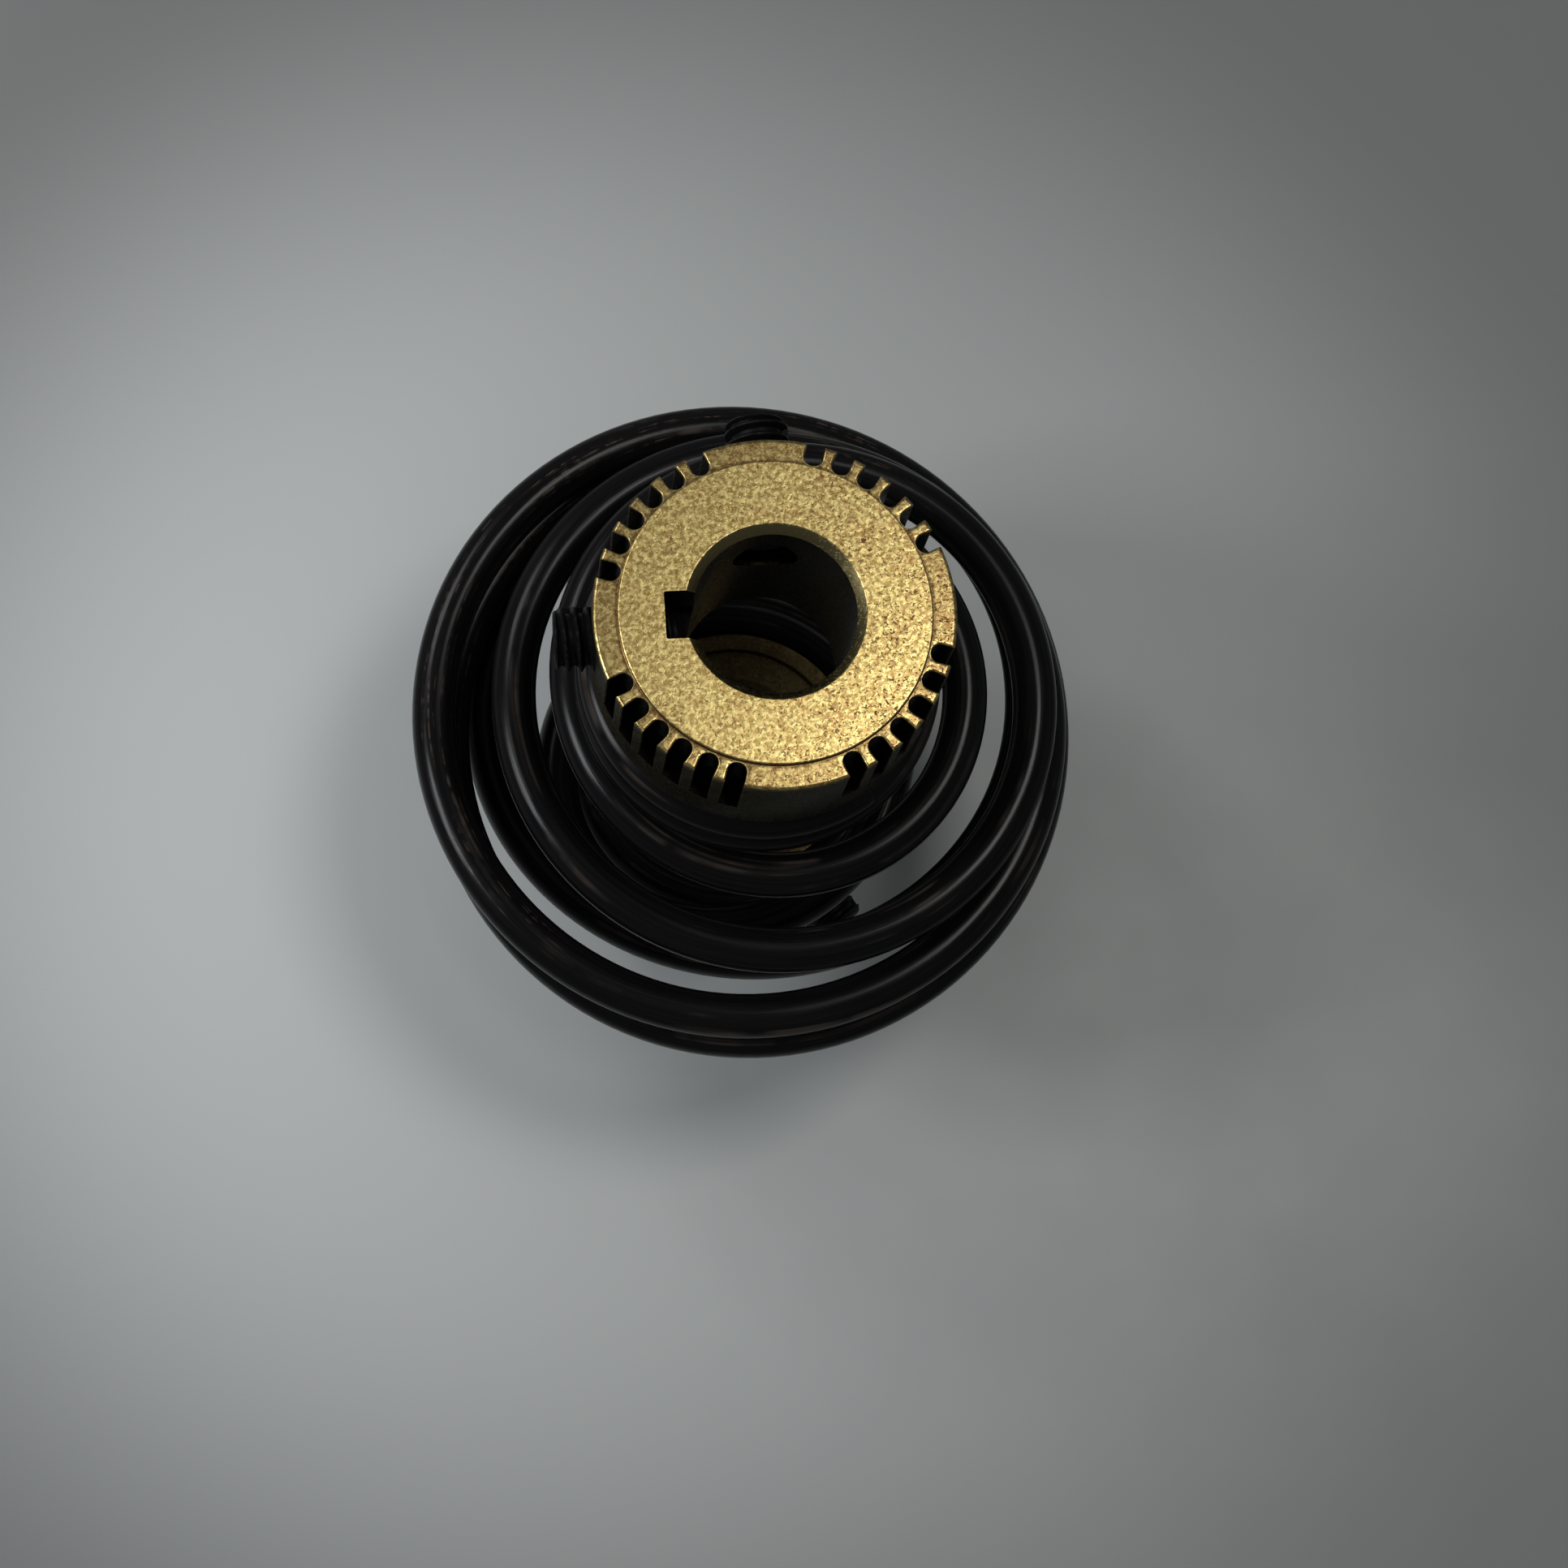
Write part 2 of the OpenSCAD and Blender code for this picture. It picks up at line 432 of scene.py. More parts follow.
def edge_wear_group() -> bpy.types.NodeTree:
    """Build the mask of worn edges, 0 on a flat and 1 on a sharp edge."""
    takes = {"Place": "NodeSocketVector", "Width": 0.3 * MM, "Strength": 4.0, "Patch size": 1.2 * MM}
    bare_span = (0.25, 0.6)
    graph = Graph.group("ShaderNodeTree", "edge_wear", takes, {"Edge": "NodeSocketFloat"})
    rounded_normal = graph.node("ShaderNodeBevel", {"Radius": graph.given("Width")}, samples=6)
    plain_normal = graph.node("ShaderNodeNewGeometry").outputs["Normal"]
    both = {0: rounded_normal.outputs[0], 1: plain_normal}
    likeness = graph.node("ShaderNodeVectorMath", both, operation="DOT_PRODUCT").outputs["Value"]
    bend = (1.0 - Field(graph, likeness)) * graph.given("Strength")
    patches = graph.noise(graph.entry.outputs["Place"], graph.given("Patch size"))
    uneven = graph.fade(patches, bare_span)
    graph.feed(graph.exit.inputs["Edge"], graph.math("MINIMUM", bend * uneven, 1.0))
    return graph.tree


@dataclass(frozen=True)
class Effects:
    """The shader groups that the finishes share."""

    fine_surface: bpy.types.NodeTree = field(default_factory=fine_surface_group)
    edge_wear: bpy.types.NodeTree = field(default_factory=edge_wear_group)


@dataclass(frozen=True)
class Finish:
    """A surface finish. Each kind of metal lays down its own colours."""

    effects: Effects
    name: str = "finish"

    def start(self) -> tuple[Graph, bpy.types.Material, bpy.types.Node]:
        """Return the new material with its graph and its Principled shader."""
        material = bpy.data.materials.new(self.name)
        material.use_nodes = True
        graph = Graph(material.node_tree)
        shader = graph.node("ShaderNodeBsdfPrincipled")
        graph.node("ShaderNodeOutputMaterial", {"Surface": shader.outputs[0]})
        return graph, material, shader

    def relief(self, graph: Graph, shader: bpy.types.Node, height: Number, depth: float) -> None:
        """Feed a bump to the shader.

        Args:
            graph: the material's graph.
            shader: its Principled shader.
            height: the relief, from 0 to 1.
            depth: what 1 stands for, in metres.
        """
        bump = graph.node("ShaderNodeBump", {"Strength": 1.0, "Distance": depth, "Height": height})
        graph.feed(shader.inputs["Normal"], bump.outputs[0])


@dataclass(frozen=True)
class SinteredBrass(Finish):
    """Sintered metal: mottled gold faces; painted shade darkens hollows, bore, rim side and dull brown
    inner end.

    Shares say how much of a colour is laid on, and spans where it fades in. Spans from the axis end in
    _r, and those below the end face in _depth.
    """

    name: str = "sintered_brass"
    gold: Colour = (0.50, 0.36, 0.12)
    pale_gold: Colour = (0.90, 0.73, 0.30)
    orange: Colour = (0.38, 0.19, 0.075)
    brown: Colour = (0.11, 0.052, 0.020)
    # Partly the rim side's own olive, partly painted shade: darkened as the side lies in shade.
    olive: Colour = (0.030, 0.029, 0.014)
    # Partly the chamfer's own olive gold, partly painted reflection: raised to stand in for light it
    # catches.
    bevel_metal: Colour = (0.200, 0.165, 0.075)
    # Partly the reamed bore's own grey, partly painted shade inside the bore.
    bore_metal: Colour = (0.045, 0.041, 0.029)
    # Partly dull brown patina, partly painted shade of the inner end that lies inside the spring.
    dull_brown: Colour = (0.026, 0.019, 0.011)
    # Painted shade: near-black for the notches, deep ledges and screw holes, where shade falls.
    soot: Colour = (0.006, 0.006, 0.005)
    pale_span: Span = (0.38, 0.62)
    redness_span: Span = (0.36, 0.78)
    redness_per_metre: float = 9.0
    vein_share: float = 0.38
    fleck_share: float = 0.50
    redder_share: float = 0.45
    rim_face_share: float = 0.36
    rim_side_share: float = 0.92
    step_share: float = 0.8
    edge_share: float = 0.4
    dull_share: float = 0.75
    steep_span: Span = (0.3, 0.8)
    bore_start_r: Span = (8.14 * MM, 8.44 * MM)
    bevel_r: Span = (8.72 * MM, 8.88 * MM)
    keyway_r: Span = (11.2 * MM, 11.5 * MM)
    boss_r: Span = (15.14 * MM, 15.2 * MM)
    past_boss_r: Span = (15.14 * MM, 15.3 * MM)
    step_r: Span = (15.3 * MM, 15.7 * MM)
    notch_r: Span = (15.24 * MM, 15.3 * MM)
    rim_r: Span = (17.35 * MM, 17.55 * MM)
    soot_depth: Span = (0.5 * MM, 1.0 * MM)
    notch_depth: Span = (0.8 * MM, 1.2 * MM)
    ledge_depth: Span = (3.0 * MM, 4.0 * MM)
    rim_depth: Span = (13.6 * MM, 13.9 * MM)
    hole_depth: float = 7.0 * MM
    hole_reach: Span = (3.3 * MM, 3.45 * MM)
    raggedness: float = 0.5 * MM
    fleck_pit: float = 0.6
    pit_depth: float = 0.014 * MM
    least_roughness: float = 0.22
    grain_roughness: float = 0.14
    fleck_roughness: float = 0.18

    def mottled(self, graph: Graph, fine: bpy.types.Node, along_x: Field) -> bpy.types.NodeSocket:
        """Return the gold of the faces, redder and more flecked toward +X.

        Args:
            graph: the material's graph.
            fine: the fine surface group.
            along_x: how far toward +X a point lies.

        Returns:
            The colour's socket.
        """
        grain, flecks, veins, patches = (Field(graph, s) for s in fine.outputs)
        redness = graph.fade(patches + along_x * self.redness_per_metre, self.redness_span)
        redder = self.redder_share * redness
        metal = graph.blend(graph.fade(grain, self.pale_span), self.gold, self.pale_gold)
        metal = graph.blend(veins * (self.vein_share + redder), metal, self.orange)
        return graph.blend(flecks * (self.fleck_share + redder), metal, self.brown)

    def off_holes(self, graph: Graph, x: Field, y: Field, depth: Field) -> Field:
        """Return 0 in the two set screw holes and 1 elsewhere.

        Args:
            graph: the material's graph.
            x: the point's place along the drawn hub's X.
            y: the same along its Y.
            depth: how far the point lies below the end face.

        Returns:
            The mask.
        """
        below = depth - self.hole_depth
        off = 1.0
        for across, out in ((x, y), (y, 0.0 - x)):
            reach = graph.fade(graph.length(across, below), self.hole_reach)
            off = off * (1.0 - (1.0 - reach) * graph.fade(out, self.bore_start_r))
        return off

    def material(self) -> bpy.types.Material:
        """Return the hub material, which reads where on its hub a point was drawn."""
        graph, material, shader = self.start()
        place = graph.attribute("hub_place", "Vector")
        fine = graph.node("ShaderNodeGroup", {"Place": place}, node_tree=self.effects.fine_surface)
        wear = graph.node("ShaderNodeGroup", {"Place": place}, node_tree=self.effects.edge_wear)
        grain, flecks = (Field(graph, s) for s in fine.outputs[:2])
        edge = Field(graph, wear.outputs["Edge"])

        x, y, z = graph.parts(place)
        depth = 0.0 - z
        from_axis = graph.length(x, y)
        ragged = from_axis + self.raggedness * (grain - 0.5)
        on_side = 1.0 - graph.fade(graph.math("ABSOLUTE", graph.facing_up()), self.steep_span)
        at_rim = graph.fade(from_axis, self.rim_r)
        behind = graph.fade(depth, self.rim_depth)
        past_boss = graph.fade(from_axis, self.past_boss_r)
        # Partly brown, partly painted shade in the crease at the foot of the boss step.
        at_step = graph.fade(from_axis, self.boss_r) * (1.0 - graph.fade(ragged, self.step_r))
        on_bevel = 1.0 - graph.fade(ragged, self.bevel_r)
        in_bore = on_side * (1.0 - graph.fade(from_axis, self.keyway_r))
        in_ring = graph.fade(from_axis, self.notch_r) * (1.0 - at_rim)
        in_notch = in_ring * graph.math("MAXIMUM", on_side, graph.fade(depth, self.notch_depth))
        # Painted shade in the notches, fading in below the face and out behind the rim.
        notch_shade_mask = in_notch * graph.fade(depth, self.soot_depth) * (1.0 - behind)
        deep_ledge = (1.0 - on_side) * past_boss * graph.fade(depth, self.ledge_depth)

        layers = (
            (past_boss * self.rim_face_share, self.brown),
            # Rim side: own olive tint, darkened as painted shade.
            (on_side * at_rim * self.rim_side_share, self.olive),
            # Step crease: brown and painted shade.
            (at_step * self.step_share, self.brown),
            # Bore bevel: own colour and painted reflection.
            (on_bevel, self.bevel_metal),
            (edge * self.edge_share, self.pale_gold),
            # Inner end: dull brown and painted shade.
            (behind * (self.dull_share + (1.0 - self.dull_share) * grain), self.dull_brown),
            # Bore and keyway walls: own grey and painted shade.
            (in_bore, self.bore_metal),
            # Painted shade: the notches, the deep ledges and the screw holes go near-black.
            (notch_shade_mask, self.soot),
            (deep_ledge * (1.0 - behind), self.soot),
            (1.0 - self.off_holes(graph, x, y, depth), self.soot))
        metal = self.mottled(graph, fine, x)
        for share, colour in layers:
            metal = graph.blend(share, metal, colour)
        graph.feed(shader.inputs["Base Color"], metal)
        graph.feed(shader.inputs["Metallic"], 1.0)
        roughness = self.least_roughness + self.grain_roughness * grain + self.fleck_roughness * flecks
        graph.feed(shader.inputs["Roughness"], roughness)
        self.relief(graph, shader, grain - self.fleck_pit * flecks, self.pit_depth)
        return material


@dataclass(frozen=True)
class TemperedWire(Finish):
    """Black oil-tempered spring wire with draw lines along it, rubbed brown streaks, and scuffs that also
    paint a highlight.
    """

    name: str = "tempered_wire"
    black: Colour = (0.0035, 0.0035, 0.0040)
    grey: Colour = (0.007, 0.006, 0.0065)
    rubbed: Colour = (0.055, 0.044, 0.036)
    # Scuffs and painted highlight: a lighter tan where light falls on the upper-left crests.
    scuff: Colour = (0.075, 0.057, 0.043)
    wire_radius: float = 2.38 * MM
    stretch: float = 0.03
    fine_line: float = 0.35 * MM
    broad_line: float = 1.1 * MM
    cloud: float = 7 * MM
    grey_span: Span = (0.35, 0.75)
    rubbed_lines: Span = (0.55, 0.72)
    rubbed_clouds: Span = (0.42, 0.62)
    rubbed_share: float = 0.8
    dash: float = 0.3 * MM
    dash_span: Span = (0.52, 0.72)
    gap: float = 1.2 * MM
    gap_span: Span = (0.42, 0.62)
    top_span: Span = (0.72, 0.92)
    wide_coils: Span = (26 * MM, 31 * MM)
    far_side: Span = (-10 * MM, 10 * MM)
    line_depth: float = 0.018 * MM
    specular: float = 0.12
    least_roughness: float = 0.10
    line_roughness: float = 0.14
    cloud_roughness: float = 0.10
    rubbed_roughness: float = 0.14

    def scuffed(
            self, graph: Graph, place: bpy.types.NodeSocket, lines_at: bpy.types.NodeSocket) -> Field:
        """Return the mask of short lighter dashes on top of the widest coils toward -X and +Y, scuffs and
        painted highlight.

        Args:
            graph: the material's graph.
            place: the point in the frame.
            lines_at: the point in the wire's own stretched coordinates.

        Returns:
            The mask, 1 where the wire is scuffed or painted with highlight.
        """
        x, y, _ = graph.parts(place)
        on_top = graph.fade(graph.facing_up(), self.top_span)
        on_wide = on_top * graph.fade(graph.length(x, y), self.wide_coils)
        dashes = graph.fade(graph.noise(lines_at, self.dash, detail=4.0), self.dash_span)
        broken = graph.fade(graph.noise(place, self.gap, detail=4.0), self.gap_span)
        return dashes * broken * on_wide * graph.fade(y - x, self.far_side)

    def material(self) -> bpy.types.Material:
        """Return the spring material, which reads the coordinates that the sweep leaves on the wire."""
        graph, material, shader = self.start()
        across_x, across_y, _ = graph.parts(graph.attribute("wire_side", "Vector"))
        along = Field(graph, graph.attribute("wire_along", "Fac"))
        radius = self.wire_radius
        lines_at = graph.vector(across_x * radius, across_y * radius, along * self.stretch)
        place = graph.object_place()
        fine_lines = graph.noise(lines_at, self.fine_line, detail=3.0)
        cloudy = graph.noise(place, self.cloud, detail=3.0)
        streaks = graph.fade(graph.noise(lines_at, self.broad_line), self.rubbed_lines)
        rubbed = streaks * graph.fade(cloudy, self.rubbed_clouds)
        metal = graph.blend(graph.fade(fine_lines, self.grey_span), self.black, self.grey)
        metal = graph.blend(rubbed * self.rubbed_share, metal, self.rubbed)
        metal = graph.blend(self.scuffed(graph, place, lines_at), metal, self.scuff)
        graph.feed(shader.inputs["Base Color"], metal)
        graph.feed(shader.inputs["Specular IOR Level"], self.specular)
        roughness = self.least_roughness + self.line_roughness * fine_lines
        roughness = roughness + self.cloud_roughness * cloudy + self.rubbed_roughness * rubbed
        graph.feed(shader.inputs["Roughness"], roughness)
        self.relief(graph, shader, fine_lines, self.line_depth)
        return material


@dataclass(frozen=True)
class BlackOxide(Finish):
    """Black oxide on the set screws, rubbed brighter along the thread crests."""

    name: str = "black_oxide"
    black: Colour = (0.004, 0.004, 0.0045)
    bare_steel: Colour = (0.03, 0.028, 0.026)
    spot: float = 0.5 * MM
    spot_span: Span = (0.45, 0.75)
    bare_share: float = 0.5
    spot_depth: float = 0.02 * MM
    specular: float = 0.08
    least_roughness: float = 0.34
    spot_roughness: float = 0.18

    def material(self) -> bpy.types.Material:
        """Return the screw material, which reads the crest mask on the thread."""
        graph, material, shader = self.start()
        crest = Field(graph, graph.attribute("crest", "Fac"))
        spots = graph.noise(graph.object_place(), self.spot, detail=3.0)
        rubbed = crest * graph.fade(spots, self.spot_span) * self.bare_share
        graph.feed(shader.inputs["Base Color"], graph.blend(rubbed, self.black, self.bare_steel))
        graph.feed(shader.inputs["Specular IOR Level"], self.specular)
        graph.feed(shader.inputs["Roughness"], self.least_roughness + self.spot_roughness * spots)
        self.relief(graph, shader, spots, self.spot_depth)
        return material


@dataclass(frozen=True)
class PaleTable(Finish):
    """The pale, faintly glossy table top, with painted shade: darker and cooler toward +X, dimmer away from
    the coupling.
    """

    name: str = "pale_table"
    pale: Colour = (0.70, 0.715, 0.71)
    # Painted shade on the table toward +X.
    cool: Colour = (0.37, 0.385, 0.38)
    dim: Colour = (0.18, 0.186, 0.184)
    cool_span: Span = (-0.12, 0.06)
    dim_span: Span = (0.05, 0.13)
    wander: float = 0.03
    wander_size: float = 0.25
    smear_size: float = 0.01
    least_roughness: float = 0.42
    smear_roughness: float = 0.1

    def material(self) -> bpy.types.Material:
        """Return the floor material."""
        graph, material, shader = self.start()
        place = graph.object_place()
        wander = self.wander * graph.noise(place, self.wander_size)
        right_shade_share = graph.fade(graph.parts(place)[0] + wander, self.cool_span)
        away = graph.node("ShaderNodeVectorMath", {0: place}, operation="LENGTH").outputs["Value"]
        near_colour = graph.blend(right_shade_share, self.pale, self.cool)
        dimness = graph.fade(away, self.dim_span)
        graph.feed(shader.inputs["Base Color"], graph.blend(dimness, near_colour, self.dim))
        smears = graph.noise(place, self.smear_size)
        graph.feed(shader.inputs["Roughness"], self.least_roughness + self.smear_roughness * smears)
        return material


@dataclass(frozen=True)
class HubFillets:
    """The radii of the hub's rounded edges and corners."""

    recess_floor: float = 0.15 * MM
    recess_edge: float = 0.2 * MM
    seat_edge: float = 0.3 * MM
    seat_foot: float = 0.2 * MM
    rim: float = 0.45 * MM
    boss_foot: float = 0.1 * MM
    boss_edge: float = 0.18 * MM
    bore: float = 0.12 * MM
    keyway: float = 0.2 * MM


@dataclass(frozen=True)
class ToothedHub:
    """One hub, drawn with its end face at z = 0 and its body below, keyway at clock angle 270."""

    rim_d: float = 35.3 * MM
    boss_d: float = 30.4 * MM
    boss_rise: float = 0.5 * MM
    hub_len: float = 22.2 * MM
    rim_len: float = 14.0 * MM
    seat_d: float = 28.0 * MM
    recess_d: float = 23.9 * MM
    recess_depth: float = 1.0 * MM
    bore_d: float = 15.875 * MM
    bore_bevel: float = 0.9 * MM
    key_w: float = 4.76 * MM
    key_depth: float = 2.75 * MM
    rim_steps: int = 36
    quarter_notches: int = 6
    notch_w: float = 1.8 * MM
    notch_depth: float = 2.3 * MM
    notch_len: float = 8.3 * MM
    teeth_turn: float = -3.0
    hole_d: float = 6.45 * MM
    screw_back: float = 7.0 * MM
    rear_key_turn: float = 235.0
    tooth_edge: float = 0.25 * MM
    around: int = 240
    arc_steps: int = 5
    keyway_arc_steps: int = 4
    hole_sides: int = 64
    weld: float = 0.0001 * MM
    crease_angle: float = 32.0
    fillets: HubFillets = HubFillets()

    def placing(self, end: HubEnd, front_z: float) -> Matrix:
        """Return the move from the drawn hub to its end of the coupling.

        Args:
            end: which end.
            front_z: height of the front hub's end face.

        Returns:
            The matrix for the hub's mesh and for its screws.
        """
        if end is HubEnd.FRONT:
            return Matrix.Translation((0, 0, front_z))
        turn = math.radians(270 - self.rear_key_turn)
        return Matrix.Rotation(turn, 4, "Z") @ Matrix.Rotation(math.pi, 4, "X")

    def blank(self) -> bpy.types.Object:
        """Turn the hub's rounded profile round the axis."""
        bore_r, recess_r, seat_r, rim_r, boss_r = (
            d / 2 for d in (self.bore_d, self.recess_d, self.seat_d, self.rim_d, self.boss_d))
        inner = -self.hub_len + self.recess_depth
        fillets = self.fillets
        profile = rounded([
            (bore_r, inner, fillets.recess_floor),
            (recess_r, inner, fillets.recess_floor),
            (recess_r, -self.hub_len, fillets.recess_edge),
            (seat_r, -self.hub_len, fillets.seat_edge),
            (seat_r, -self.rim_len, fillets.seat_foot),
            (rim_r, -self.rim_len, fillets.rim),
            (rim_r, -self.boss_rise, fillets.rim),
            (boss_r, -self.boss_rise, fillets.boss_foot),
            (boss_r, 0.0, fillets.boss_edge),
            (bore_r + self.bore_bevel, 0.0, fillets.bore),
            (bore_r, -self.bore_bevel, fillets.bore)], self.arc_steps)
        rings = [circle(p.x, p.y, self.around) for p in profile]
        return object_from("hub_blank", skin("hub_blank", rings, closed=True))

    def notch_outline(self, grow: float) -> list[Vector]:
        """Return a notch's outline toward +Y, with a round floor and flared tooth edges.

        Args:
            grow: how much wider than the notch each side is.

        Returns:
            The outline's points.
        """
        half = self.notch_w / 2 + grow
        rim_r, floor_steps = self.rim_d / 2, 2 * self.arc_steps
        floor_y = rim_r - self.notch_depth + half
        flare_y = rim_r - self.tooth_edge
        right = []
        for k in range(floor_steps + 1):
            turn = math.pi / 2 * k / floor_steps
            right.append(Vector((half * math.sin(turn), floor_y - half * math.cos(turn))))
        for k in range(self.arc_steps + 1):
            turn = math.pi / 2 * k / self.arc_steps
            reach = self.tooth_edge * (1 - math.cos(turn))
            right.append(Vector((half + reach, flare_y + self.tooth_edge * math.sin(turn))))
        right.append(Vector((half + self.tooth_edge, rim_r + CUT_PAST)))
        return right + [Vector((-p.x, p.y)) for p in reversed(right[1:])]

    def notch_cutter(self) -> bpy.types.Object:
        """Make the solid that cuts one notch, widening at the toothed face."""
        face = -self.boss_rise
        rings = [upright(self.notch_outline(0.0), face - self.notch_len)]
        for k in range(self.arc_steps + 1):
            turn = math.pi / 2 * k / self.arc_steps
            grow = self.tooth_edge * (1 - math.cos(turn))
            rings.append(upright(self.notch_outline(grow), face - self.tooth_edge * (1 - math.sin(turn))))
        rings.append(upright(self.notch_outline(self.tooth_edge), face + CUT_PAST))
        return object_from("notch_cutter", skin("notch_cutter", rings, closed=False))

    def keyway_cutter(self) -> bpy.types.Object:
        """Make the solid that cuts the keyway."""
        left, half = -self.bore_d / 2 - self.key_depth, self.key_w / 2
        corners = ((left, -half), (0.0, -half), (0.0, half), (left, half))
        outline = rounded([(*corner, self.fillets.keyway) for corner in corners], self.keyway_arc_steps)
        rings = [upright(outline, z) for z in (-self.hub_len - CUT_PAST, CUT_PAST)]
        return object_from("keyway_cutter", skin("keyway_cutter", rings, closed=False))

    def hole_cutters(self) -> bpy.types.Object:
        """Make the two solids that cut the set screw holes, toward +Y and -X."""
        section = circle(self.hole_d / 2, 0.0, self.hole_sides)
        reach = (self.bore_d / 2 - CUT_PAST, self.rim_d)
        way_x, way_y, up = Vector((1, 0, 0)), Vector((0, 1, 0)), Vector((0, 0, 1))
        work = bmesh.new()
        for across, out in ((way_x, way_y), (way_y, -way_x)):
            centres = [out * distance - up * self.screw_back for distance in reach]
            rings = [[centre + across * p.x + up * p.y for p in section] for centre in centres]
            work.from_mesh(skin("hole", rings, closed=False))
        mesh = bpy.data.meshes.new("hole_cutters")
        work.to_mesh(mesh)
        work.free()
        return object_from("hole_cutters", mesh)

    def cutting_tree(self) -> bpy.types.NodeTree:
        """Build the tree that cuts the notches round the rim, the keyway and the holes."""
        cutters = ("Notch", "Keyway", "Holes")
        extra = dict.fromkeys(cutters, "NodeSocketObject") | {"Metal": "NodeSocketMaterial"}
        graph = tree_for(ToothedHub, "toothed_rim", extra)
        size = graph.sizes(ToothedHub)
        step = 360.0 / size.rim_steps
        quarter_steps = size.rim_steps / 4.0
        index = Field(graph, graph.node("GeometryNodeInputIndex").outputs[0])
        cut = graph.math("LESS_THAN", graph.math("MODULO", index, quarter_steps), size.quarter_notches)
        clock = size.teeth_turn + step * (index + 0.5 + (quarter_steps - size.quarter_notches) / 2.0)
        marks = graph.node("GeometryNodeMeshLine", {"Count": size.rim_steps, "Offset": (0, 0, 0)})
        notch, keyway, holes = (
            graph.node("GeometryNodeObjectInfo", {"Object": graph.entry.outputs[label]}).outputs["Geometry"]
            for label in cutters)
        notches = graph.node("GeometryNodeInstanceOnPoints", {
            "Points": marks.outputs[0],
            "Selection": cut,
            "Instance": notch,
            "Rotation": graph.vector(0.0, 0.0, graph.math("RADIANS", 0.0 - clock))})
        real = graph.node("GeometryNodeRealizeInstances", {0: notches.outputs[0]})
        hub = graph.node(
            "GeometryNodeMeshBoolean", {"Mesh 1": graph.entry.outputs["Geometry"]},
            operation="DIFFERENCE", solver="MANIFOLD")
        for cutter in (real.outputs[0], keyway, holes):
            graph.feed(hub.inputs["Mesh 2"], cutter)
        merged = graph.node("GeometryNodeMergeByDistance", {0: hub.outputs[0], "Distance": size.weld})
        smooth = graph.node("GeometryNodeSetShadeSmooth", {0: merged.outputs[0]})
        bend = Field(graph, graph.node("GeometryNodeInputMeshEdgeAngle").outputs[0])
        sharp = graph.math("GREATER_THAN", bend, graph.math("RADIANS", size.crease_angle))
        creased = graph.node("GeometryNodeSetShadeSmooth", {
            0: smooth.outputs[0], 1: sharp, 2: False}, domain="EDGE")
        place = graph.node("GeometryNodeInputPosition").outputs[0]
        drawn = graph.stored(graph.dressed(creased.outputs[0]), "hub_place", place)
        graph.feed(graph.exit.inputs[0], drawn)
        return graph.tree

    def build(self, metal: bpy.types.Material, front_z: float) -> dict[HubEnd, bpy.types.Object]:
        """Cut the hub once and set it at both ends.

        Args:
            metal: the hub material.
            front_z: height of the front hub's end face.

        Returns:
            The two hubs by their ends.
        """
        blank = self.blank()
        cutters = {
            "Notch": self.notch_cutter(), "Keyway": self.keyway_cutter(), "Holes": self.hole_cutters()}
        add_tree(blank, self.cutting_tree(), sizes_of(self) | cutters | {"Metal": metal})
        blank.modifiers.new("even_flats", "WEIGHTED_NORMAL").keep_sharp = True
        hub = made_plain("front_hub_body", blank)
        for cutter in cutters.values():
            bpy.data.objects.remove(cutter)
        other = object_from("rear_hub_body", hub.data.copy())
        hubs = {HubEnd.FRONT: hub, HubEnd.REAR: other}
        for end, made in hubs.items():
            made.data.transform(self.placing(end, front_z))
        return hubs


